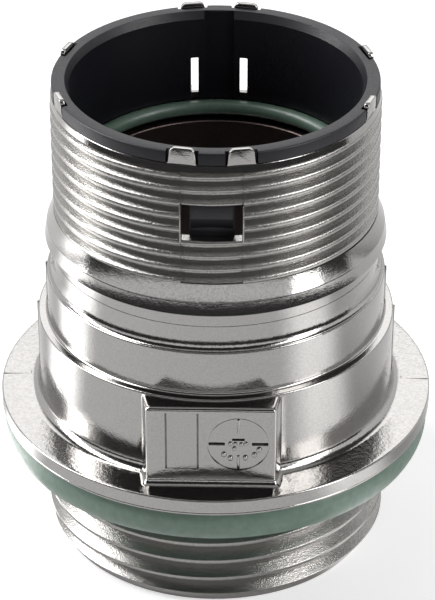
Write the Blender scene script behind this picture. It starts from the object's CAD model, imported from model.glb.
"""Looks of a panel-mount circular connector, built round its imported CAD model.

Every shape is modelled in millimetres and scaled to metres when it is finished.
The axis is Z, the bottom end stands on the floor and the label boss faces -Y.
"""
import math
from types import SimpleNamespace

import bpy
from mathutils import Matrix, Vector


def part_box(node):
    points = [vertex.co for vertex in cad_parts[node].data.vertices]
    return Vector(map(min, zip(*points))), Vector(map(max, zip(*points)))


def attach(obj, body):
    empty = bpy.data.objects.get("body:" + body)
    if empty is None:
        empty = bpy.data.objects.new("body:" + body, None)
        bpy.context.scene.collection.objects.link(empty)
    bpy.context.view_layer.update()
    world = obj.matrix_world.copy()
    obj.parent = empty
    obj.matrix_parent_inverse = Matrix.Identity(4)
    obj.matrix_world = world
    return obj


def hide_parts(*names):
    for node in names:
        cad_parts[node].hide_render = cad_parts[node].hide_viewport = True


bl_info = {
    "name": "Circular connector",
    "version": (1, 0, 0),
    "blender": (4, 5, 0),
    "location": "View3D > Sidebar > Connector",
    "description": "Models a nickel-plated circular connector and a plain studio round it",
    "category": "Add Mesh",
}

MM = 0.001
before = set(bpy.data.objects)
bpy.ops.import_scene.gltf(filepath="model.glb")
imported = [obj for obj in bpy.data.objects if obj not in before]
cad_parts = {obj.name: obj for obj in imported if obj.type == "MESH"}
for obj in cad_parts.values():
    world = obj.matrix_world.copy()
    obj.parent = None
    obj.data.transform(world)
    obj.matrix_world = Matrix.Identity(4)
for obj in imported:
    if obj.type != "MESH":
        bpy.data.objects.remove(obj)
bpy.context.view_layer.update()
LEFT_LAMP_AZIMUTH = -97
RIGHT_LAMP_AZIMUTH = 62

# The flange is the housing's widest part, so the housing's box gives its radius
FLANGE_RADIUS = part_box("housing")[1].x / MM
SLEEVE_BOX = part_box("latch_sleeve")
SEAL_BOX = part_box("flange_seal_ring")
INNER_SEAL_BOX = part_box("inner_seal_ring")


def length(name, description, default_mm, lowest_mm=0.0):
    """A length property, given in millimetres and held in metres."""
    return bpy.props.FloatProperty(
        name=name,
        description=description,
        default=default_mm * MM,
        min=lowest_mm * MM,
        precision=5,
        subtype="DISTANCE",
        unit="LENGTH",
    )


def colour(name, description, default):
    """A colour property."""
    return bpy.props.FloatVectorProperty(
        name=name,
        description=description,
        default=default,
        min=0.0,
        max=1.0,
        size=3,
        subtype="COLOR",
    )


class ConnectorHousing(bpy.types.PropertyGroup):
    """Sizes of the die-cast housing."""

    rim_z: length("Rim height", "Top of the coupling thread", 35.15)
    coupling_bottom_z: length("Coupling thread end", "Where the coupling thread meets the cone", 26.25)
    coupling_radius: length("Coupling radius", "Crest radius of the coupling thread, M23 x 1", 11.43)
    coupling_pitch: length("Coupling pitch", "Pitch of the coupling thread", 1.0)
    coupling_front_z: length("Coupling crest", "Height of a thread crest at the front", 30.32)
    panel_radius: length("Panel thread radius", "Crest radius of the panel thread, M25 x 1.5", 12.42)
    panel_pitch: length("Panel thread pitch", "Pitch of the panel thread", 1.5)
    panel_bottom_z: length("Panel thread bottom", "Lower end of the panel thread", 0.75)
    panel_top_z: length("Panel thread top", "Upper end of the panel thread", 7.65)
    panel_front_z: length("Panel thread crest", "Height of a thread crest at the front", 3.9)
    flange_bottom_z: length("Flange underside", "Height of the flange's underside", 10.25)
    flange_top_z: length("Flange top", "Height of the flange's top", 11.47)
    shoulder_z: length("Shoulder height", "Ledge between body and shank", 17.85)
    shank_top_z: length("Shank top", "Top of the shank", 21.2)
    collar_bottom_z: length("Collar underside", "Underside of the collar below the cone", 24.1)
    collar_top_z: length("Collar top", "Where the collar meets the cone", 25.05)
    body_radius: length("Body radius", "Radius of the body above the flange", 12.75)
    body_fillet: length("Body fillet", "Fillet between body and flange", 0.8)
    shank_radius: length("Shank radius", "Radius of the shank", 12.05)
    neck_radius: length("Neck radius", "Radius of the neck below the collar", 11.55)
    collar_radius: length("Collar radius", "Radius of the collar at its lower edge", 12.07)
    socket_radius: length("Socket radius", "Radius of the socket that holds the sleeve", 10.5)
    throat_radius: length("Throat radius", "Radius of the throat below the seal seat", 9.3)
    cable_bore_radius: length("Cable bore radius", "Radius of the bore at the cable end", 10.3)
    seat_z: length("Seal seat height", "Seat of the inner seal", 27.66)
    window_width: length("Window width", "Width of the two latch windows", 4.12)
    window_sill_z: length("Window sill", "Lower edge of the latch windows", 29.45)
    window_top_z: length("Window top", "Upper edge of the latch windows", 32.23)
    lug_face_radius: length("Lug face", "Distance of a rim lug's face from the axis", 11.23)
    lug_thickness: length("Lug thickness", "Thickness of a rim lug", 0.34)
    lug_height: length("Lug height", "Height of a rim lug above the rim", 1.2)
    boss_face_radius: length("Boss face", "Distance of the boss's face from the axis", 13.6)
    boss_width: length("Boss width", "Width of the label boss at its face", 8.98)
    boss_top_z: length("Boss top", "Top of the label boss", 17.73)
    dial_radius: length("Dial radius", "Radius of the dial on the boss", 2.1)
    dial_offset: length("Dial offset", "Sideways place of the dial on the boss", 1.87)
    dial_z: length("Dial height", "Height of the dial's middle", 14.83)


class ConnectorSleeve(bpy.types.PropertyGroup):
    """Sizes of the latch sleeve."""

    ring_radius: length("Ring radius", "Outside of the ring on the rim", 11.28)
    ring_bottom_z: length("Ring underside", "Underside of the ring", 35.2)
    top_z: length("Sleeve top", "Top of the sleeve", 36.04)
    bore_radius: length("Bore radius", "Inside of the sleeve", 10.1)
    skirt_radius: length("Skirt radius", "Outside of the skirt in the socket", 10.44)
    skirt_bottom_z: length("Skirt bottom", "Lower end of the skirt", 29.1)
    tongue_width: length("Tongue width", "Width of the two latch tongues", 3.0)
    slot_width: length("Slot width", "Width of the slots beside a tongue", 0.55)
    nose_width: length("Nose width", "Width of a latch nose", 2.84)
    nose_reach: length("Nose reach", "How far a latch nose stands into its window", 0.62)


class ConnectorFinish(bpy.types.PropertyGroup):
    """Colours of the finishes."""

    nickel: colour("Nickel", "Bright nickel plate on smooth casting", (0.40, 0.39, 0.38))
    thread_nickel: colour("Thread nickel", "Satin nickel plate in the threads", (0.395, 0.385, 0.37))
    bore_nickel: colour("Bore nickel", "Dull nickel in the bore", (0.14, 0.11, 0.105))
    plastic: colour("Plastic", "Black plastic of the latch sleeve", (0.004, 0.004, 0.008))
    rubber: colour("Rubber", "Green rubber of the seals", (0.135, 0.215, 0.165))
    floor: colour("Floor", "Pale floor of the studio", (0.8, 0.8, 0.8))


class ConnectorStudio(bpy.types.PropertyGroup):
    """Camera and lights."""

    azimuth: bpy.props.FloatProperty(
        name="Azimuth", description="Camera's turn round the object", default=math.radians(1.37),
        subtype="ANGLE")
    elevation: bpy.props.FloatProperty(
        name="Elevation", description="Camera's height above the horizon", default=math.radians(31.7),
        subtype="ANGLE")
    distance: length("Distance", "Camera's distance from its target", 190.0)
    target_z: length("Target height", "Height that the camera is aimed at", 18.0)
    focal_pixels: bpy.props.FloatProperty(
        name="Focal length", description="Focal length in pixels of a frame 600 high", default=2640.0)


def in_millimetres(group):
    """The lengths of a property group in millimetres, and its other values as they are."""
    values = {}
    for key, prop in group.bl_rna.properties.items():
        if key in {"rna_type", "name"}:
            continue
        value = getattr(group, key)
        values[key] = value / MM if getattr(prop, "unit", "") == "LENGTH" else value
    return SimpleNamespace(**values)


# Modelling helpers


def make_active(piece):
    """Selects one object alone and makes it the active one."""
    bpy.ops.object.select_all(action="DESELECT")
    piece.select_set(True)
    bpy.context.view_layer.objects.active = piece


def arc(centre, radius, start, end, steps=6):
    """Points of an arc round centre, from angle start to angle end in degrees."""
    points = []
    for step in range(steps + 1):
        angle = math.radians(start + (end - start) * step / steps)
        points.append((centre[0] + radius * math.cos(angle), centre[1] + radius * math.sin(angle)))
    return points


def start_editing():
    """Enters edit mode with the whole mesh selected."""
    bpy.ops.object.mode_set(mode="EDIT")
    bpy.ops.mesh.select_all(action="SELECT")


def stop_editing():
    """Goes back to object mode."""
    bpy.ops.object.mode_set(mode="OBJECT")


def face_outwards():
    """Turns every face outwards and goes back to object mode."""
    bpy.ops.mesh.select_all(action="SELECT")
    bpy.ops.mesh.normals_make_consistent(inside=False)
    stop_editing()


def extrude(way):
    """Extrudes what is selected and moves it by a vector."""
    bpy.ops.mesh.extrude_region_move(TRANSFORM_OT_translate={"value": way})


def draw_line(name, points):
    """An object whose mesh is one open line, extruded from point to point."""
    bpy.ops.object.select_all(action="DESELECT")
    bpy.ops.mesh.primitive_plane_add(size=1.0)
    piece = bpy.context.object
    piece.name = name
    bpy.ops.object.mode_set(mode="EDIT")
    bpy.ops.mesh.merge(type="CENTER")
    here = Vector(points[0])
    bpy.ops.transform.translate(value=here)
    for point in points[1:]:
        extrude(Vector(point) - here)
        here = Vector(point)
    stop_editing()
    return piece


def spin_solid(name, outline, steps, closed=False):
    """Solid of revolution about Z from an outline of (radius, height) points.

    A closed outline makes a ring. An open one makes a solid bar with flat ends.
    """
    piece = draw_line(name, [(r, 0.0, z) for r, z in outline])
    start_editing()
    if closed:
        stop_editing()
        joined = [index for edge in piece.data.edges for index in edge.vertices]
        for vertex in piece.data.vertices:
            vertex.select = joined.count(vertex.index) == 1
        for edge in piece.data.edges:
            edge.select = False
        bpy.ops.object.mode_set(mode="EDIT")
        bpy.ops.mesh.edge_face_add()
        bpy.ops.mesh.select_all(action="SELECT")
    bpy.ops.mesh.spin(steps=steps, angle=math.tau, center=(0, 0, 0), axis=(0, 0, 1))
    bpy.ops.mesh.select_all(action="SELECT")
    bpy.ops.mesh.remove_doubles(threshold=1e-4)
    if not closed:
        bpy.ops.mesh.select_all(action="DESELECT")
        bpy.ops.mesh.select_non_manifold()
        bpy.ops.mesh.fill_holes(sides=0)
    face_outwards()
    return piece


def apply_modifier(piece, modifier):
    """Applies a modifier on a piece."""
    make_active(piece)
    bpy.ops.object.modifier_apply(modifier=modifier.name)


def combine(piece, tool, operation):
    """Applies one boolean and removes the tool that it used."""
    modifier = piece.modifiers.new("shape", "BOOLEAN")
    modifier.operation = operation
    modifier.solver = "MANIFOLD"
    modifier.object = tool
    apply_modifier(piece, modifier)
    bpy.data.objects.remove(tool)


def cut(piece, tool):
    """Cuts a tool out of a piece."""
    combine(piece, tool, "DIFFERENCE")


def unite(piece, tool):
    """Unites a piece with a tool."""
    combine(piece, tool, "UNION")


def rounded_block(name, size, centre, rounding=0.0, turn=0.0, segments=3):
    """A box with rounded edges, turned about the axis of the connector.

    With no window, transform.rotate turns clockwise, hence its minus sign here and below.
    """
    bpy.ops.object.select_all(action="DESELECT")
    bpy.ops.mesh.primitive_cube_add(size=1.0)
    piece = bpy.context.object
    piece.name = name
    bpy.ops.object.mode_set(mode="EDIT")
    bpy.ops.transform.resize(value=size)
    if rounding:
        bpy.ops.mesh.bevel(offset=rounding, segments=segments, affect="EDGES")
    bpy.ops.transform.translate(value=centre)
    if turn:
        bpy.ops.transform.rotate(value=-turn, orient_axis="Z", center_override=(0, 0, 0))
    stop_editing()
    return piece


def threaded_bar(name, crest_radius, pitch, front_z, bottom_z, top_z, steps, crest=0.05, rounding=0.2):
    """A bar with a right-hand thread, cut level at both ends.

    The section of one turn has a narrow upright crest that is well rounded above and sharp
    below. front_z is the height of a crest at the front. crest is half the width of the
    upright part and rounding its upper edge's radius, both as shares of the pitch.
    """
    section = [(0.0, 0.0)]
    for degrees in (0, 12, 24, 36, 48, 60):
        angle = math.radians(degrees)
        section.append((crest + rounding * math.sin(angle), rounding * (1 - math.cos(angle))))
    section += [(0.43, 0.46), (0.455, 0.495), (0.48, 0.52), (0.51, 0.53), (0.56, 0.53)]
    section += [(0.585, 0.52), (0.61, 0.495), (0.88, 0.03), (0.905, 0.008), (0.93, 0.0), (1.0, 0.0)]
    crest_z = front_z + pitch / 4
    start_z = crest_z - pitch * math.ceil((crest_z - bottom_z) / pitch + 1.0)
    turns = math.ceil((top_z - start_z) / pitch + 1.0)
    points = [(crest_radius - pitch * depth, 0.0, start_z + pitch * rise) for rise, depth in section]
    piece = draw_line(name, points)
    screw = piece.modifiers.new("turns", "SCREW")
    screw.axis = "Z"
    screw.angle = math.tau
    screw.screw_offset = pitch
    screw.iterations = turns
    screw.steps = steps
    screw.render_steps = steps
    screw.use_merge_vertices = True
    screw.merge_threshold = 1e-4
    apply_modifier(piece, screw)
    start_editing()
    bpy.ops.mesh.remove_doubles(threshold=1e-4)
    for height, side in ((bottom_z, -1), (top_z, 1)):
        bpy.ops.mesh.select_all(action="SELECT")
        bpy.ops.mesh.bisect(
            plane_co=(0, 0, height), plane_no=(0, 0, side), use_fill=True, clear_outer=True, threshold=1e-5)
    face_outwards()
    return piece


def finish_piece(piece, smooth_angle=24.0):
    """Shades a piece, scales it to metres and puts its place into its mesh."""
    make_active(piece)
    piece.data.materials.clear()
    start_editing()
    bpy.ops.mesh.remove_doubles(threshold=2e-4)
    bpy.ops.mesh.dissolve_degenerate(threshold=1e-4)
    stop_editing()
    piece.scale = (MM, MM, MM)
    bpy.ops.object.transform_apply(location=True, rotation=True, scale=True)
    bpy.ops.object.shade_smooth_by_angle(angle=math.radians(smooth_angle))
    return piece


# Housing


def body_outline(s):
    """Outside of the housing without its threads, from the top down."""
    points = [(s.coupling_radius + 0.02, s.coupling_bottom_z)]
    cone_foot = s.collar_radius - 0.17
    points += [(cone_foot - 0.03, s.collar_top_z + 0.1), (cone_foot - 0.005, s.collar_top_z + 0.06)]
    points += [(cone_foot + 0.012, s.collar_top_z + 0.03), (cone_foot + 0.02, s.collar_top_z - 0.03)]
    points += [(s.collar_radius - 0.01, s.collar_bottom_z + 0.09)]
    points += arc((s.collar_radius - 0.06, s.collar_bottom_z + 0.06), 0.06, 0, -90, 3)
    points += [(s.neck_radius + 0.06, s.collar_bottom_z)]
    points += arc((s.neck_radius + 0.06, s.collar_bottom_z - 0.06), 0.06, 90, 180, 3)
    line_z = s.collar_bottom_z - 1.08
    points += [(s.neck_radius + 0.01, line_z + 0.035), (s.neck_radius - 0.035, line_z + 0.01)]
    points += [(s.neck_radius - 0.035, line_z - 0.01), (s.neck_radius + 0.015, line_z - 0.035)]
    cove_width, cove_height = 0.42, 0.95
    for step in range(9):
        angle = math.radians(82 * step / 8)
        points.append((s.neck_radius + 0.02 + cove_width * (1 - math.cos(angle)),
                       s.shank_top_z + 0.02 + cove_height * (1 - math.sin(angle))))
    edge = 0.12
    points += arc((s.shank_radius - edge, s.shank_top_z - edge), edge, 80, 0, 4)
    foot = 0.22
    points += [(s.shank_radius + 0.015, s.shoulder_z + 0.9)]
    points += arc((s.shank_radius + 0.03 + foot, s.shoulder_z + foot), foot, 180, 268, 6)
    points += arc((s.body_radius - edge, s.shoulder_z - edge), edge, 88, 2, 5)
    points += [(s.body_radius + 0.02, s.flange_top_z + 3.5)]
    fillet = s.body_fillet
    points += arc((s.body_radius + 0.04 + fillet, s.flange_top_z + 0.03 + fillet), fillet, 180, 271, 14)
    points += [(FLANGE_RADIUS - 0.4, s.flange_top_z + 0.005)]
    points += arc((FLANGE_RADIUS - 0.13, s.flange_top_z - 0.13), 0.13, 89, 0, 6)
    line_z = s.flange_bottom_z + 0.2
    points += [(FLANGE_RADIUS, line_z + 0.03), (FLANGE_RADIUS - 0.04, line_z + 0.005)]
    points += [(FLANGE_RADIUS - 0.045, line_z - 0.01), (FLANGE_RADIUS - 0.015, line_z - 0.04)]
    points += arc((FLANGE_RADIUS - 0.1, s.flange_bottom_z + 0.08), 0.08, 0, -90, 4)
    core = s.panel_radius - 0.87
    points += [(core + 0.1, s.flange_bottom_z), (core, s.flange_bottom_z - 0.1)]
    points += [(core, s.panel_top_z + 0.1), (core - 0.1, s.panel_top_z - 0.3)]
    points += [(core - 0.1, s.panel_bottom_z + 0.01)]
    ring_radius = s.panel_radius - 0.67
    points += arc((ring_radius - 0.06, s.panel_bottom_z - 0.05), 0.06, 90, 0, 3)
    points += arc((ring_radius - 0.1, 0.1), 0.1, 0, -90, 4)
    return points


def bore_outline(s):
    """Inside of the housing, from above the rim down to below the bottom end."""
    rim = s.rim_z
    return [
        (s.socket_radius + 0.2, rim + 0.1),
        (s.socket_radius, rim - 0.1),
        (s.socket_radius, s.seat_z + 0.1),
        (s.socket_radius - 0.1, s.seat_z),
        (s.throat_radius + 0.06, s.seat_z),
        (s.throat_radius, s.seat_z - 0.06),
        (s.throat_radius, s.seat_z - 5.4),
        (s.cable_bore_radius, s.seat_z - 6.4),
        (s.cable_bore_radius, 0.4),
        (s.cable_bore_radius + 0.6, -0.2),
    ]


def lug_turns():
    """Turn of each rim lug about the axis, in radians from the front."""
    turns = []
    for quarter in range(4):
        half = 20.0 if quarter % 2 else 10.0
        turns += [math.radians(90.0 * quarter - half), math.radians(90.0 * quarter + half)]
    return turns


def add_lug(s, turn):
    """One cast lug on the rim: its face is drawn, filled and extruded inwards."""
    foot, half, corner, flare = 0.95, 0.86, 0.38, 0.06
    low, high = s.rim_z - 0.25, s.rim_z + s.lug_height
    side = [(foot + flare, low), (foot + flare, s.rim_z)]
    side += [(foot + 0.02, s.rim_z + 0.06), (foot - 0.01, s.rim_z + 0.14)]
    side += arc((half - corner, high - corner), corner, 8, 90, 7)
    face = side + [(-x, z) for x, z in reversed(side)]
    lug = draw_line("lug", [(x, -s.lug_face_radius, z) for x, z in face])
    start_editing()
    bpy.ops.mesh.edge_face_add()
    extrude((0, s.lug_thickness, 0))
    face_outwards()
    around = {-s.lug_face_radius, s.lug_thickness - s.lug_face_radius}
    places = [vertex.co.y for vertex in lug.data.vertices]
    for polygon in lug.data.polygons:
        polygon.select = False
    for vertex in lug.data.vertices:
        vertex.select = False
    for edge in lug.data.edges:
        first, second = (places[index] for index in edge.vertices)
        edge.select = abs(first - second) < 1e-4 and any(abs(first - y) < 1e-4 for y in around)
    bpy.ops.object.mode_set(mode="EDIT")
    bpy.ops.mesh.select_mode(type="EDGE")
    bpy.ops.mesh.bevel(offset=0.06, segments=3, affect="EDGES")
    bpy.ops.mesh.select_mode(type="VERT")
    stop_editing()
    draft = 0.05
    for vertex in lug.data.vertices:
        vertex.co.y -= draft * (vertex.co.z - s.rim_z)
    start_editing()
    bpy.ops.transform.rotate(value=-turn, orient_axis="Z", center_override=(0, 0, 0))
    stop_editing()
    return lug


def quarter_steps(count):
    """The angles in radians at which each step of a quarter turn starts and ends."""
    return [(math.radians(90 * step / count), math.radians(90 * (step + 1) / count)) for step in range(count)]


def add_boss(s):
    """The label boss: its plan is drawn, filled and extruded down to the flange."""
    half = s.boss_width / 2
    face = -s.boss_face_radius
    rounding = 0.27
    fillet = 0.35
    side = half + 0.24
    centre_x = side + fillet
    reach = s.body_radius + fillet
    centre_y = -math.sqrt(reach ** 2 - centre_x ** 2)
    sweep = math.degrees(math.atan2(-centre_y, centre_x))
    right = arc((half - rounding, face + rounding), rounding, -90, -6, 6)
    right += arc((centre_x, centre_y), fillet, 180, 180 - sweep, 6)
    back_y = -10.9
    depth = 2.7
    right += [(half, back_y)]
    left = [(-x, y) for x, y in reversed(right)]
    plan = right + left
    top = s.boss_top_z
    boss = draw_line("boss", [(x, y, top) for x, y in plan])
    start_editing()
    bpy.ops.mesh.edge_face_add()
    back = (0, back_y, 0)

    def step_down(drop, grow, inset):
        """Extrudes the edge down and widens it by grow, from inset inside the boss's sides."""
        extrude((0, 0, -drop))
        wide, deep = side - inset, depth - inset
        bpy.ops.transform.resize(value=(1 + grow / wide, 1 + grow / deep, 1), center_override=back)

    bpy.ops.transform.resize(
        value=(1 - rounding / side, 1 - rounding / depth, 1), center_override=back)
    for before, after in quarter_steps(4):
        step_down(
            rounding * (math.cos(before) - math.cos(after)),
            rounding * (math.sin(after) - math.sin(before)),
            rounding * (1 - math.sin(before)))
    flare = 0.5
    extrude((0, 0, -(top - rounding - s.flange_top_z - flare)))
    for before, after in quarter_steps(9):
        step_down(
            flare * (math.sin(after) - math.sin(before)),
            flare * (math.cos(before) - math.cos(after)),
            -flare * (1 - math.cos(before)))
    extrude((0, 0, -0.6))
    face_outwards()
    return boss


def facing_disc(name, radius, depth, x, y, z, segments=64):
    """A disc whose flat side faces the front, as a cutter or a small raised dot."""
    bpy.ops.object.select_all(action="DESELECT")
    bpy.ops.mesh.primitive_cylinder_add(vertices=segments, radius=radius, depth=depth)
    disc = bpy.context.object
    disc.name = name
    bpy.ops.object.mode_set(mode="EDIT")
    bpy.ops.transform.rotate(value=math.pi / 2, orient_axis="X", center_override=(0, 0, 0))
    bpy.ops.transform.translate(value=(x, y, z))
    stop_editing()
    return disc


def ring_groove(x, y, z, radius, width, depth):
    """A ring as a cutter for a fine groove round the dial."""
    ring = facing_disc("dial_groove", radius + width / 2, 2 * depth, x, y, z, 96)
    cut(ring, facing_disc("dial_middle", radius - width / 2, 4 * depth, x, y, z, 96))
    return ring


def domed_dot(radius, height, x, y, z):
    """A small dot with a rounded edge, standing on the dial."""
    dot = facing_disc("dial_dot", radius, height, x, y, z, 16)
    start_editing()
    bpy.ops.mesh.bevel(offset=radius * 0.4, segments=3, affect="EDGES")
    stop_editing()
    return dot


def carve_boss_face(housing, s):
    """Cuts the bare word plate and the dial into the boss's face, and adds the dial's small marks."""
    face = -s.boss_face_radius
    plate_x, plate_width = -2.0, 2.2
    plate_top = s.boss_top_z - 0.4
    plate_bottom = s.flange_top_z + 1.3
    plate_z = (plate_top + plate_bottom) / 2
    plate_depth, groove_radius = 0.08, 0.085
    cut(housing, rounded_block(
        "plate", (plate_width, plate_depth, plate_top - plate_bottom), (plate_x, face, plate_z)))
    for side in (-1, 1):
        bpy.ops.object.select_all(action="DESELECT")
        bpy.ops.mesh.primitive_cylinder_add(
            vertices=4, radius=groove_radius, depth=plate_top - plate_bottom)
        groove = bpy.context.object
        start_editing()
        bpy.ops.transform.translate(value=(plate_x + side * plate_width / 2, face + 0.03, plate_z))
        stop_editing()
        cut(housing, groove)
    x, z = s.dial_offset, s.dial_z
    cut(housing, facing_disc("dial", s.dial_radius, 0.1, x, face, z, 96))
    cut(housing, ring_groove(x, face, z, s.dial_radius, 0.08, 0.1))
    slot_reach = s.dial_radius - 0.06 - 0.56
    for side in (-1, 1):
        slot = rounded_block("dial_slot", (1.12, 0.5, 0.25), (x + side * slot_reach, face + 0.06, z))
        cut(housing, slot)
    marks = []
    bar_reach = s.dial_radius - 0.06 - 0.55
    for side in (-1, 1):
        marks.append(rounded_block(
            "dial_bar", (0.2, 0.26, 1.1), (x, face + 0.08, z + side * bar_reach), 0.06, segments=3))
    for mark_x, mark_z in ((-0.55, 0.04), (-0.22, 0.02), (0.2, 0.0), (0.52, 0.05), (-0.28, -0.36)):
        marks.append(domed_dot(0.15, 0.26, x + mark_x, face + 0.06, z + mark_z))
    cut(housing, rounded_block("centre_slot", (0.86, 0.4, 0.2), (x, face, z + 0.36)))
    for mark_x, mark_z in ((-1.0, -0.85), (-0.55, -1.15), (0.48, -1.1), (1.1, -0.85), (1.42, -0.42)):
        marks.append(domed_dot(0.19, 0.3, x + mark_x, face + 0.06, z + mark_z))
    return marks


def cut_windows(housing, s):
    """Leaves a thin rim at the sides of each window and cuts it through."""
    middle = (s.window_top_z + s.window_sill_z) / 2
    height = s.window_top_z - s.window_sill_z
    half = s.window_width / 2
    for turn in (0.0, math.pi):
        for side in (-1, 1):
            rim_size = (0.12, 0.6, height + 0.08)
            centre = (side * (half + 0.03), -(s.coupling_radius - 0.37), middle)
            unite(housing, rounded_block("window_rim", rim_size, centre, 0.05, turn, 2))
    opening = (s.window_width, 2 * s.coupling_radius + 4, height)
    cut(housing, rounded_block("opening", opening, (0, 0, middle), 0.1))


def add_parting_lines(housing, s):
    """Fine ridges that the mould's parting leaves on both sides, and on the flange's top."""
    for side in (-1, 1):
        for radius, low, high in (
            (s.body_radius, s.flange_top_z + 0.4, s.shoulder_z - 0.05),
            (s.shank_radius, s.shoulder_z, s.shank_top_z - 0.1),
        ):
            size = (0.24, 0.22, high - low)
            centre = (side * (radius + 0.01), 0.0, (high + low) / 2)
            unite(housing, rounded_block("rib", size, centre, 0.05, segments=2))
        size = (FLANGE_RADIUS - s.body_radius - 0.4, 0.1, 0.1)
        centre = (side * (FLANGE_RADIUS + s.body_radius + 0.3) / 2, 0.0, s.flange_top_z - 0.01)
        unite(housing, rounded_block("flange_line", size, centre, 0.03, segments=2))


def paint_housing(housing, s, finish):
    """Gives the threads, the bore and the smooth outside their own nickel."""
    # Roughness, grain size and depth, swell depth, contrast
    for material in (
        make_nickel("bright_nickel", finish.nickel, 0.12, 0.12, 0.0055, 0.007, 0.12),
        make_nickel("thread_nickel", finish.thread_nickel, 0.2, 0.1, 0.021, 0.003, 0.3),
        make_nickel("bore_nickel", finish.bore_nickel, 0.42, 0.11, 0.012, 0.015, 0.16),
        make_nickel("cast_nickel", finish.nickel, 0.13, 0.2, 0.013, 0.01, 0.14),
    ):
        housing.data.materials.append(material)
    for polygon in housing.data.polygons:
        centre = polygon.center / MM
        corners = [housing.data.vertices[index].co / MM for index in polygon.vertices]
        radius = sum(math.hypot(corner.x, corner.y) for corner in corners) / len(corners)
        outward = polygon.normal.x * centre.x + polygon.normal.y * centre.y
        in_bore = radius < s.socket_radius + 0.15 and (outward < 0 or centre.z < s.seat_z + 0.05)
        in_coupling = s.coupling_bottom_z - 0.02 < centre.z < s.rim_z - 0.4
        on_flange = s.flange_top_z - 0.12 < centre.z < s.flange_top_z + 0.05 and polygon.normal.z > 0.8
        in_panel = s.panel_bottom_z - 0.02 < centre.z < s.panel_top_z + 0.3
        if in_bore:
            polygon.material_index = 2
        elif in_coupling or in_panel:
            polygon.material_index = 1
        elif on_flange:
            polygon.material_index = 3


def coupling_thread(s, steps):
    """The coupling thread, a little lower in the two strips that run through the windows."""
    low, high = s.coupling_bottom_z - 0.2, s.rim_z
    thread = threaded_bar(
        "coupling", s.coupling_radius, s.coupling_pitch, s.coupling_front_z, low, high, steps)
    strip_width, strip_drop = s.window_width + 0.06, 0.1
    room = (strip_width, 60, 30)
    lower = threaded_bar(
        "strip", s.coupling_radius - strip_drop, s.coupling_pitch, s.coupling_front_z, low, high, steps,
        crest=0.01, rounding=0.06)
    combine(lower, rounded_block("strip_room", room, (0, 0, 30)), "INTERSECT")
    cut(thread, rounded_block("strip_room", room, (0, 0, 30)))
    core = spin_solid("core", [(s.coupling_radius - 0.6, low), (s.coupling_radius - 0.6, high)], steps)
    unite(thread, core)
    unite(thread, lower)
    return thread


def make_housing(s, finish):
    """The whole die casting as one piece."""
    steps = 180
    housing = spin_solid("cast_housing", body_outline(s), steps)
    coupling = coupling_thread(s, steps)
    envelope = spin_solid("lead_in", [
        (s.coupling_radius - 0.5, s.rim_z + 0.435), (s.coupling_radius + 1.0, s.rim_z - 1.74),
        (s.coupling_radius + 1.0, s.coupling_bottom_z - 1.0)], steps)
    combine(coupling, envelope, "INTERSECT")
    plain_z = s.rim_z - 0.46
    plain_rim = spin_solid("plain_rim", [
        (s.coupling_radius - 0.8, plain_z), (s.coupling_radius - 0.06, plain_z),
        (s.coupling_radius - 0.04, plain_z + 0.02),
        (s.coupling_radius - 0.11, s.rim_z - 0.03), (s.coupling_radius - 0.14, s.rim_z),
        (s.coupling_radius - 0.8, s.rim_z)], steps, closed=True)
    unite(coupling, plain_rim)
    unite(housing, coupling)
    panel = threaded_bar(
        "panel", s.panel_radius, s.panel_pitch, s.panel_front_z, s.panel_bottom_z, s.panel_top_z, steps,
        crest=0.02, rounding=0.07)
    lead = 0.35
    envelope = spin_solid("lead_in", [
        (s.panel_radius - lead - 0.3, s.panel_top_z + 0.3),
        (s.panel_radius + 0.65, s.panel_top_z - lead - 0.65),
        (s.panel_radius + 0.65, s.panel_bottom_z + lead + 0.65),
        (s.panel_radius - lead - 0.3, s.panel_bottom_z - 0.3)], steps)
    combine(panel, envelope, "INTERSECT")
    unite(housing, panel)
    unite(housing, add_boss(s))
    for turn in lug_turns():
        unite(housing, add_lug(s, turn))
    add_parting_lines(housing, s)
    marks = carve_boss_face(housing, s)
    cut(housing, spin_solid("bore", bore_outline(s), steps))
    cut_windows(housing, s)
    make_active(housing)
    for mark in marks:
        mark.select_set(True)
    bpy.ops.object.join()
    finish_piece(housing)
    paint_housing(housing, s, finish)
    return housing


# Sleeve and seals


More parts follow.
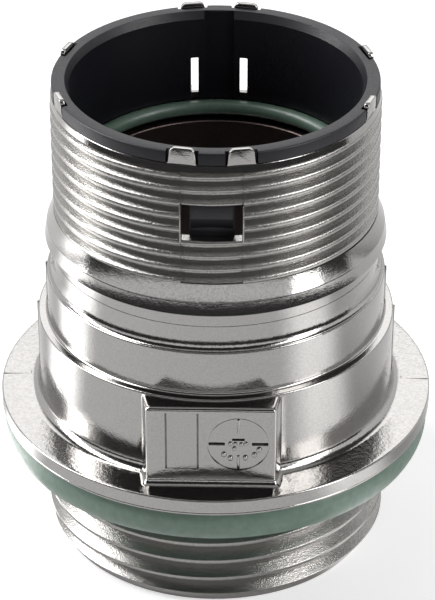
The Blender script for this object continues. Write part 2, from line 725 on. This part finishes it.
def make_sleeve(s, housing, finish):
    """The black plastic latch sleeve."""
    steps = 160
    top = s.top_z
    outline = [(s.bore_radius, s.skirt_bottom_z), (s.skirt_radius, s.skirt_bottom_z)]
    outline += [(s.skirt_radius, s.ring_bottom_z), (s.ring_radius, s.ring_bottom_z)]
    outline += arc((s.ring_radius - 0.14, top - 0.14), 0.14, 0, 82, 4)
    outline += arc((s.bore_radius + 0.30, top - 0.06), 0.06, 85, 165, 3)
    outline += [(s.bore_radius, top - 0.58)]
    sleeve = spin_solid("socket_sleeve", outline, steps, closed=True)
    middle = (housing.window_top_z + housing.window_sill_z) / 2
    height = housing.window_top_z - housing.window_sill_z - 0.2
    for turn in (0.0, math.pi):
        nose = rounded_block("nose", (s.nose_width, 1.0, height), (0, 0, 0), 0.04, segments=2)
        for vertex in nose.data.vertices:
            if vertex.co.z < 0 and vertex.co.y < 0:
                vertex.co.z += 1.5
        for vertex in nose.data.vertices:
            vertex.co.y -= s.skirt_radius + s.nose_reach - 0.5
            vertex.co.z += middle
        start_editing()
        bpy.ops.transform.rotate(value=-turn, orient_axis="Z", center_override=(0, 0, 0))
        face_outwards()
        room = spin_solid("room", [(s.bore_radius + 0.1, 40), (s.bore_radius + 0.1, 20)], steps)
        cut(nose, room)
        unite(sleeve, nose)
    notch_width, notch_depth, notch_height, clearance = 2.16, 2.0, 3.0, 0.08
    notch_y = -(housing.lug_face_radius - housing.lug_thickness - clearance + notch_depth / 2)
    for turn in lug_turns():
        notch = rounded_block(
            "notch", (notch_width, notch_depth, notch_height), (0, notch_y, s.ring_bottom_z + 1.46),
            0.05, turn, 2)
        cut(sleeve, notch)
    slot_top = housing.window_top_z + 0.2
    slot_bottom = s.skirt_bottom_z - 1
    for side in (-1, 1):
        centre = (side * (s.tongue_width + s.slot_width) / 2, 0, (slot_top + slot_bottom) / 2)
        cut(sleeve, rounded_block(
            "slot", (s.slot_width, 30, slot_top - slot_bottom), centre, 0.05, segments=2))
    cut(sleeve, rounded_block("keyway", (2.15, 0.44, 20), (0, s.bore_radius, s.top_z), 0.05, segments=2))
    finish_piece(sleeve)
    sleeve.data.materials.append(make_plastic(finish.plastic))
    return sleeve


def make_inner_seal(rubber):
    """O-ring in the socket, slightly flattened where it is held."""
    low, high = (corner / MM for corner in INNER_SEAL_BOX)
    half = (high.z - low.z) / 2
    centre = (high.x - half, (high.z + low.z) / 2)
    outline = []
    for r, z in arc(centre, half, 90, -255, 23):
        outline.append((r, min(max(z, centre[1] - half * 0.96), centre[1] + half * 0.96)))
    ring = spin_solid("inner_seal", outline, 128, closed=True)
    finish_piece(ring, smooth_angle=60)
    ring.data.materials.append(rubber)
    return ring


def make_flange_seal(s, rubber):
    """Seal ring under the flange, bulging at its outer face."""
    low, high = (corner / MM for corner in SEAL_BOX)
    inner = s.panel_radius + 0.13
    half = (high.z - low.z) / 2
    bulge = 0.35
    bulge_radius = (half ** 2 + bulge ** 2) / (2 * bulge)
    reach = math.degrees(math.asin(half / bulge_radius)) - 6
    outside = arc((high.x - bulge_radius, low.z + half), bulge_radius, reach, -reach, 12)
    outline = [(inner, high.z)]
    outline += [(outside[0][0] - 0.25, high.z), (outside[0][0] - 0.08, high.z - 0.03)]
    outline += outside
    outline += [(outside[-1][0] - 0.08, low.z + 0.03), (outside[-1][0] - 0.25, low.z), (inner, low.z)]
    ring = spin_solid("flange_seal", outline, 180, closed=True)
    finish_piece(ring, smooth_angle=40)
    ring.data.materials.append(rubber)
    return ring


# Materials


def calculate(tree, operation, *values):
    """The result of a Math node, from sockets or plain numbers."""
    node = tree.nodes.new("ShaderNodeMath")
    node.operation = operation
    for socket, value in zip(node.inputs, values):
        if isinstance(value, bpy.types.NodeSocket):
            tree.links.new(value, socket)
        else:
            socket.default_value = value
    return node.outputs[0]


def grain_group():
    """Node group for a cast or moulded skin: a fine bump, and a mask that varies over the surface."""
    existing = bpy.data.node_groups.get("cast_grain")
    if existing:
        return existing
    tree = bpy.data.node_groups.new("cast_grain", "ShaderNodeTree")
    for name, default in (
        ("Grain Size", 0.1), ("Grain Depth", 0.1), ("Swell Size", 0.5), ("Swell Depth", 0.1),
    ):
        socket = tree.interface.new_socket(name, in_out="INPUT", socket_type="NodeSocketFloat")
        socket.default_value = default
    tree.interface.new_socket("Normal", in_out="OUTPUT", socket_type="NodeSocketVector")
    tree.interface.new_socket("Mask", in_out="OUTPUT", socket_type="NodeSocketFloat")
    entry = tree.nodes.new("NodeGroupInput")
    leave = tree.nodes.new("NodeGroupOutput")
    place = tree.nodes.new("ShaderNodeTexCoord")
    heights = []
    for size, depth, detail in (("Grain Size", "Grain Depth", 2.0), ("Swell Size", "Swell Depth", 1.0)):
        scale = calculate(tree, "DIVIDE", 1.0 / MM, entry.outputs[size])
        noise = tree.nodes.new("ShaderNodeTexNoise")
        noise.inputs["Detail"].default_value = detail
        noise.inputs["Roughness"].default_value = 0.55
        tree.links.new(place.outputs["Object"], noise.inputs["Vector"])
        tree.links.new(scale, noise.inputs["Scale"])
        heights.append((noise, calculate(tree, "MULTIPLY", noise.outputs["Fac"], entry.outputs[depth])))
    total = calculate(tree, "ADD", heights[0][1], heights[1][1])
    bump = tree.nodes.new("ShaderNodeBump")
    bump.inputs["Strength"].default_value = 1.0
    bump.inputs["Distance"].default_value = MM
    tree.links.new(total, bump.inputs["Height"])
    tree.links.new(bump.outputs["Normal"], leave.inputs["Normal"])
    tree.links.new(heights[0][0].outputs["Fac"], leave.inputs["Mask"])
    return tree


def grained_material(name, grain_size, grain_depth, swell_size, swell_depth):
    """A material whose shader already takes its normal from the grain group."""
    material = bpy.data.materials.new(name)
    material.use_nodes = True
    tree = material.node_tree
    shader = tree.nodes["Principled BSDF"]
    grain = tree.nodes.new("ShaderNodeGroup")
    grain.node_tree = grain_group()
    grain.inputs["Grain Size"].default_value = grain_size
    grain.inputs["Grain Depth"].default_value = grain_depth
    grain.inputs["Swell Size"].default_value = swell_size
    grain.inputs["Swell Depth"].default_value = swell_depth
    tree.links.new(grain.outputs["Normal"], shader.inputs["Normal"])
    return material, tree, shader, grain


def spread(tree, source, low, high, low_out, high_out, blend="LINEAR"):
    """Maps a value that varies from low..high onto low_out..high_out."""
    span = tree.nodes.new("ShaderNodeMapRange")
    span.interpolation_type = blend
    span.inputs["From Min"].default_value = low
    span.inputs["From Max"].default_value = high
    for end, value in (("To Min", low_out), ("To Max", high_out)):
        if isinstance(value, bpy.types.NodeSocket):
            tree.links.new(value, span.inputs[end])
        else:
            span.inputs[end].default_value = value
    tree.links.new(source, span.inputs["Value"])
    return span.outputs["Result"]


def two_tones(tree, source, dark, light):
    """Blends two colours by a mask."""
    blend = tree.nodes.new("ShaderNodeMix")
    blend.data_type = "RGBA"
    blend.inputs[6].default_value = (*dark, 1.0)
    blend.inputs[7].default_value = (*light, 1.0)
    tree.links.new(source, blend.inputs[0])
    return blend.outputs[2]


def add_tones(tree, shader, mask, colour_value, contrast, edge, rough, smooth):
    """Lets colour and roughness vary with the mask, whose middle reaches edge either side of 0.5."""
    dark = [channel * contrast for channel in colour_value]
    share = spread(tree, mask, 0.5 - edge, 0.5 + edge, 0.0, 1.0)
    tree.links.new(two_tones(tree, share, dark, colour_value), shader.inputs["Base Color"])
    tree.links.new(spread(tree, mask, 0.3, 0.7, rough, smooth), shader.inputs["Roughness"])


def make_nickel(name, colour_value, roughness, grain_size, grain_depth, swell_depth, contrast):
    """Nickel plate on a casting: a mirror broken up by the casting's skin."""
    material, tree, shader, grain = grained_material(name, grain_size, grain_depth, 0.5, swell_depth)
    shader.inputs["Metallic"].default_value = 1.0
    add_tones(
        tree, shader, grain.outputs["Mask"], colour_value, 1 - contrast, 0.15,
        roughness * 1.3, roughness * 0.8)
    return material


def make_plastic(colour_value):
    """Black moulded plastic with a fine matt grain."""
    material, tree, shader, grain = grained_material("sleeve_plastic", 0.09, 0.012, 0.6, 0.01)
    add_tones(tree, shader, grain.outputs["Mask"], colour_value, 0.6, 0.15, 0.5, 0.36)
    return material


def make_rubber(colour_value):
    """Green seal rubber for both seals, slightly uneven in colour and sheen.

    Its name differs from that of the CAD's plain material.
    """
    material, tree, shader, grain = grained_material("seal_rubber", 0.5, 0.01, 2.2, 0.03)
    add_tones(tree, shader, grain.outputs["Mask"], colour_value, 0.8, 0.2, 0.44, 0.32)
    shader.inputs["Coat Weight"].default_value = 0.45
    shader.inputs["Coat Roughness"].default_value = 0.36
    return material


# Studio


def background_rays(tree):
    """1 for the rays that show the background: those from the camera, and those in metal and glass."""
    path = tree.nodes.new("ShaderNodeLightPath")
    kinds = [path.outputs[kind] for kind in ("Is Camera Ray", "Is Glossy Ray", "Is Transmission Ray")]
    total = kinds[0]
    for kind in kinds[1:]:
        total = calculate(tree, "MAXIMUM", total, kind)
    return total


def matt_material(name, colour_value, roughness):
    """A matt material without sheen, whose glow is white."""
    material = bpy.data.materials.new(name)
    material.use_nodes = True
    tree = material.node_tree
    shader = tree.nodes["Principled BSDF"]
    shader.inputs["Base Color"].default_value = (*colour_value, 1)
    shader.inputs["Roughness"].default_value = roughness
    shader.inputs["Specular IOR Level"].default_value = 0.0
    shader.inputs["Emission Color"].default_value = (1, 1, 1, 1)
    return material, tree, shader


def make_world():
    """White behind the object and in its metal, and a plain level of soft light on it."""
    world = bpy.data.worlds.new("studio_world")
    world.use_nodes = True
    tree = world.node_tree
    shader = tree.nodes["Background"]
    level = spread(tree, background_rays(tree), 0.0, 1.0, 0.17, 1.0)
    tree.links.new(level, shader.inputs["Strength"])
    shader.inputs["Color"].default_value = (1, 1, 1, 1)
    bpy.context.scene.world = world


def lamp_on_table(tree, azimuth, half_width):
    """A soft streak across the table, from the connector towards a lamp at an azimuth from the front."""
    place = tree.nodes.new("ShaderNodeTexCoord")
    split = tree.nodes.new("ShaderNodeSeparateXYZ")
    tree.links.new(place.outputs["Object"], split.inputs[0])
    a = math.radians(azimuth)
    turned = []
    for x_share, y_share in ((math.sin(a), -math.cos(a)), (math.cos(a), math.sin(a))):
        along = calculate(tree, "MULTIPLY", split.outputs["X"], x_share)
        turned.append(calculate(tree, "MULTIPLY_ADD", split.outputs["Y"], y_share, along))
    aside = calculate(tree, "ABSOLUTE", calculate(tree, "ARCTAN2", turned[1], turned[0]))
    inner, outer = math.radians(half_width * 0.2), math.radians(half_width)
    return spread(tree, aside, inner, outer, 1.0, 0.0, "SMOOTHSTEP")


def make_floor(colour_value):
    """A wide pale floor that turns white for the camera, keeps the shadow and mirrors the two tall lamps."""
    bpy.ops.object.select_all(action="DESELECT")
    bpy.ops.mesh.primitive_circle_add(vertices=96, radius=3.0, fill_type="NGON")
    floor = bpy.context.object
    floor.name = "floor"
    material, tree, shader = matt_material("pale_floor", colour_value, 0.9)
    path = tree.nodes.new("ShaderNodeLightPath")
    glow = spread(tree, background_rays(tree), 0.0, 1.0, 0.0, 0.1)
    place = tree.nodes.new("ShaderNodeTexCoord")
    away = tree.nodes.new("ShaderNodeVectorMath")
    away.operation = "LENGTH"
    tree.links.new(place.outputs["Object"], away.inputs[0])
    fade = spread(tree, away.outputs["Value"], 0.1, 0.4, 0.5, 1.0)
    glow = spread(tree, path.outputs["Is Camera Ray"], 0.0, 1.0, glow, fade)
    for azimuth, half_width, level in ((LEFT_LAMP_AZIMUTH, 22, 2.6), (RIGHT_LAMP_AZIMUTH, 24, 1.0)):
        in_metal = calculate(
            tree, "MULTIPLY", lamp_on_table(tree, azimuth, half_width), path.outputs["Is Glossy Ray"])
        glow = calculate(tree, "MULTIPLY_ADD", in_metal, level, glow)
    tree.links.new(glow, shader.inputs["Emission Strength"])
    floor.data.materials.append(material)
    return floor


def stage_card(name, outline, first, last, level):
    """A card round the table that only shows in the metal, at a level from black to white.

    Its (radius, height) outline is spun between two angles in degrees from the front. With no
    window, spin turns clockwise, so its sweep is first - last.
    """
    material, _, shader = matt_material(name, (0.01, 0.01, 0.01), 1.0)
    shader.inputs["Emission Strength"].default_value = level
    start = math.radians(first - 90)
    card = draw_line(name, [(r * math.cos(start), r * math.sin(start), z) for r, z in outline])
    start_editing()
    bpy.ops.mesh.spin(
        steps=48, angle=math.radians(first - last), center=(0, 0, 0), axis=(0, 0, 1))
    bpy.ops.mesh.select_all(action="SELECT")
    bpy.ops.mesh.remove_doubles(threshold=1e-6)
    stop_editing()
    card.data.materials.append(material)
    card.visible_camera = False
    card.visible_diffuse = False
    card.visible_shadow = False
    card.visible_transmission = False
    return card


def at_elevation(distance, degrees):
    """A (radius, height) point at a distance and an angle above the floor."""
    angle = math.radians(degrees)
    return distance * math.cos(angle), distance * math.sin(angle)


def towards(azimuth, elevation):
    """The direction from the connector at two angles in radians, azimuth 0 being the front."""
    flat = math.cos(elevation)
    return Vector((math.sin(azimuth) * flat, -math.cos(azimuth) * flat, math.sin(elevation)))


def add_softbox(name, azimuth, elevation, distance, size, power):
    """A rectangular lamp that faces the connector."""
    outwards = towards(math.radians(azimuth), math.radians(elevation))
    bpy.ops.object.select_all(action="DESELECT")
    bpy.ops.object.light_add(type="AREA", location=Vector((0, 0, 0.018)) + outwards * distance)
    lamp = bpy.context.object
    lamp.name = name
    lamp.rotation_euler = outwards.to_track_quat("Z", "Y").to_euler()
    lamp.data.shape = "RECTANGLE"
    lamp.data.size, lamp.data.size_y = size
    lamp.data.energy = power
    return lamp


def add_camera(studio):
    """The camera at the photograph's viewing angle."""
    outwards = towards(studio.azimuth, studio.elevation)
    bpy.ops.object.select_all(action="DESELECT")
    bpy.ops.object.camera_add(location=Vector((0, 0, studio.target_z)) + outwards * studio.distance)
    camera = bpy.context.object
    camera.name = "camera"
    sensor_pixels, sensor_width = 600, 36.0
    aside_pixels = 1.7
    camera.rotation_mode = "QUATERNION"
    camera.rotation_quaternion = (-outwards).to_track_quat("-Z", "Y")
    camera.data.sensor_width = sensor_width
    camera.data.lens = sensor_width * studio.focal_pixels / sensor_pixels
    camera.data.shift_x = aside_pixels / sensor_pixels
    camera.data.clip_start = 0.01
    camera.data.clip_end = 20.0
    bpy.context.scene.camera = camera


# Operators


class AddConnectorHousing(bpy.types.Operator):
    """Add the nickel-plated housing"""

    bl_idname = "connector.add_housing"
    bl_label = "Add Housing"

    def execute(self, context):
        scene = context.scene
        housing = make_housing(
            in_millimetres(scene.connector_housing), in_millimetres(scene.connector_finish))
        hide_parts("housing")
        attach(housing, "root")
        return {"FINISHED"}


class AddConnectorSleeve(bpy.types.Operator):
    """Add the black latch sleeve"""

    bl_idname = "connector.add_sleeve"
    bl_label = "Add Sleeve"

    def execute(self, context):
        scene = context.scene
        sleeve = make_sleeve(
            in_millimetres(scene.connector_sleeve), in_millimetres(scene.connector_housing),
            in_millimetres(scene.connector_finish))
        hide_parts("latch_sleeve")
        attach(sleeve, "root")
        return {"FINISHED"}


class AddConnectorSeals(bpy.types.Operator):
    """Add both green seal rings"""

    bl_idname = "connector.add_seals"
    bl_label = "Add Seals"

    def execute(self, context):
        scene = context.scene
        rubber = make_rubber(scene.connector_finish.rubber)
        inner = make_inner_seal(rubber)
        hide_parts("inner_seal_ring")
        outer = make_flange_seal(in_millimetres(scene.connector_housing), rubber)
        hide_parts("flange_seal_ring")
        for seal in (inner, outer):
            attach(seal, "root")
        return {"FINISHED"}


class AddConnectorStage(bpy.types.Operator):
    """Add the floor, the lamps, the cards and the camera"""

    bl_idname = "connector.add_stage"
    bl_label = "Add Stage"

    def execute(self, context):
        scene = context.scene
        make_world()
        make_floor(scene.connector_finish.floor)
        edge = [(0.1, 0.0005), (0.9, 0.0005), at_elevation(0.9, 9)]
        stage_card("dark_table_edge", edge, -92, 96, 0.04)
        for name, distance, elevations, first, last, level in (
            ("dark_card_front", 0.85, (24, 35, 46, 57, 66), -78, 50, 0.03),
            ("dark_card_right", 0.84, (36, 48, 60), 80, 150, 0.06),
            ("dark_card_left", 0.84, (36, 48, 60), -150, -112, 0.06),
            ("dim_ceiling", 0.86, (57, 72, 89.9), -180, 180, 0.5),
        ):
            outline = [at_elevation(distance, elevation) for elevation in elevations]
            stage_card(name, outline, first, last, level)
        add_softbox("right_softbox", RIGHT_LAMP_AZIMUTH, 30, 0.4, (0.13, 0.34), 0.75)
        add_softbox("left_softbox", LEFT_LAMP_AZIMUTH, 36, 0.4, (0.13, 0.46), 1.8)
        add_softbox("rear_softbox", 180, 40, 0.6, (0.7, 0.3), 0.85)
        add_camera(scene.connector_studio)
        scene.view_settings.view_transform = "Standard"
        return {"FINISHED"}


class ConnectorPanel(bpy.types.Panel):
    """Sizes, colours and buttons of the connector"""

    bl_label = "Circular connector"
    bl_idname = "VIEW3D_PT_connector"
    bl_space_type = "VIEW_3D"
    bl_region_type = "UI"
    bl_category = "Connector"

    def draw(self, context):
        layout = self.layout
        for name, label, operator in (
            ("connector_housing", "Housing", "connector.add_housing"),
            ("connector_sleeve", "Sleeve", "connector.add_sleeve"),
            ("connector_finish", "Finishes", "connector.add_seals"),
            ("connector_studio", "Studio", "connector.add_stage"),
        ):
            box = layout.box()
            box.label(text=label)
            group = getattr(context.scene, name)
            for key in group.bl_rna.properties.keys():
                if key not in {"rna_type", "name"}:
                    box.prop(group, key)
            box.operator(operator)


GROUPS = (
    ("connector_housing", ConnectorHousing),
    ("connector_sleeve", ConnectorSleeve),
    ("connector_finish", ConnectorFinish),
    ("connector_studio", ConnectorStudio),
)
CLASSES = (
    AddConnectorHousing,
    AddConnectorSleeve,
    AddConnectorSeals,
    AddConnectorStage,
    ConnectorPanel,
)


def register():
    for name, group in GROUPS:
        bpy.utils.register_class(group)
        setattr(bpy.types.Scene, name, bpy.props.PointerProperty(type=group))
    for item in CLASSES:
        bpy.utils.register_class(item)


def unregister():
    for item in reversed(CLASSES):
        bpy.utils.unregister_class(item)
    for name, group in reversed(GROUPS):
        delattr(bpy.types.Scene, name)
        bpy.utils.unregister_class(group)


def main():
    register()
    for old in ("Cube", "Light", "Camera"):
        if old in bpy.data.objects:
            bpy.data.objects.remove(bpy.data.objects[old])
    bpy.ops.connector.add_housing()
    bpy.ops.connector.add_sleeve()
    bpy.ops.connector.add_seals()
    bpy.ops.connector.add_stage()


if __name__ == "__main__":
    main()
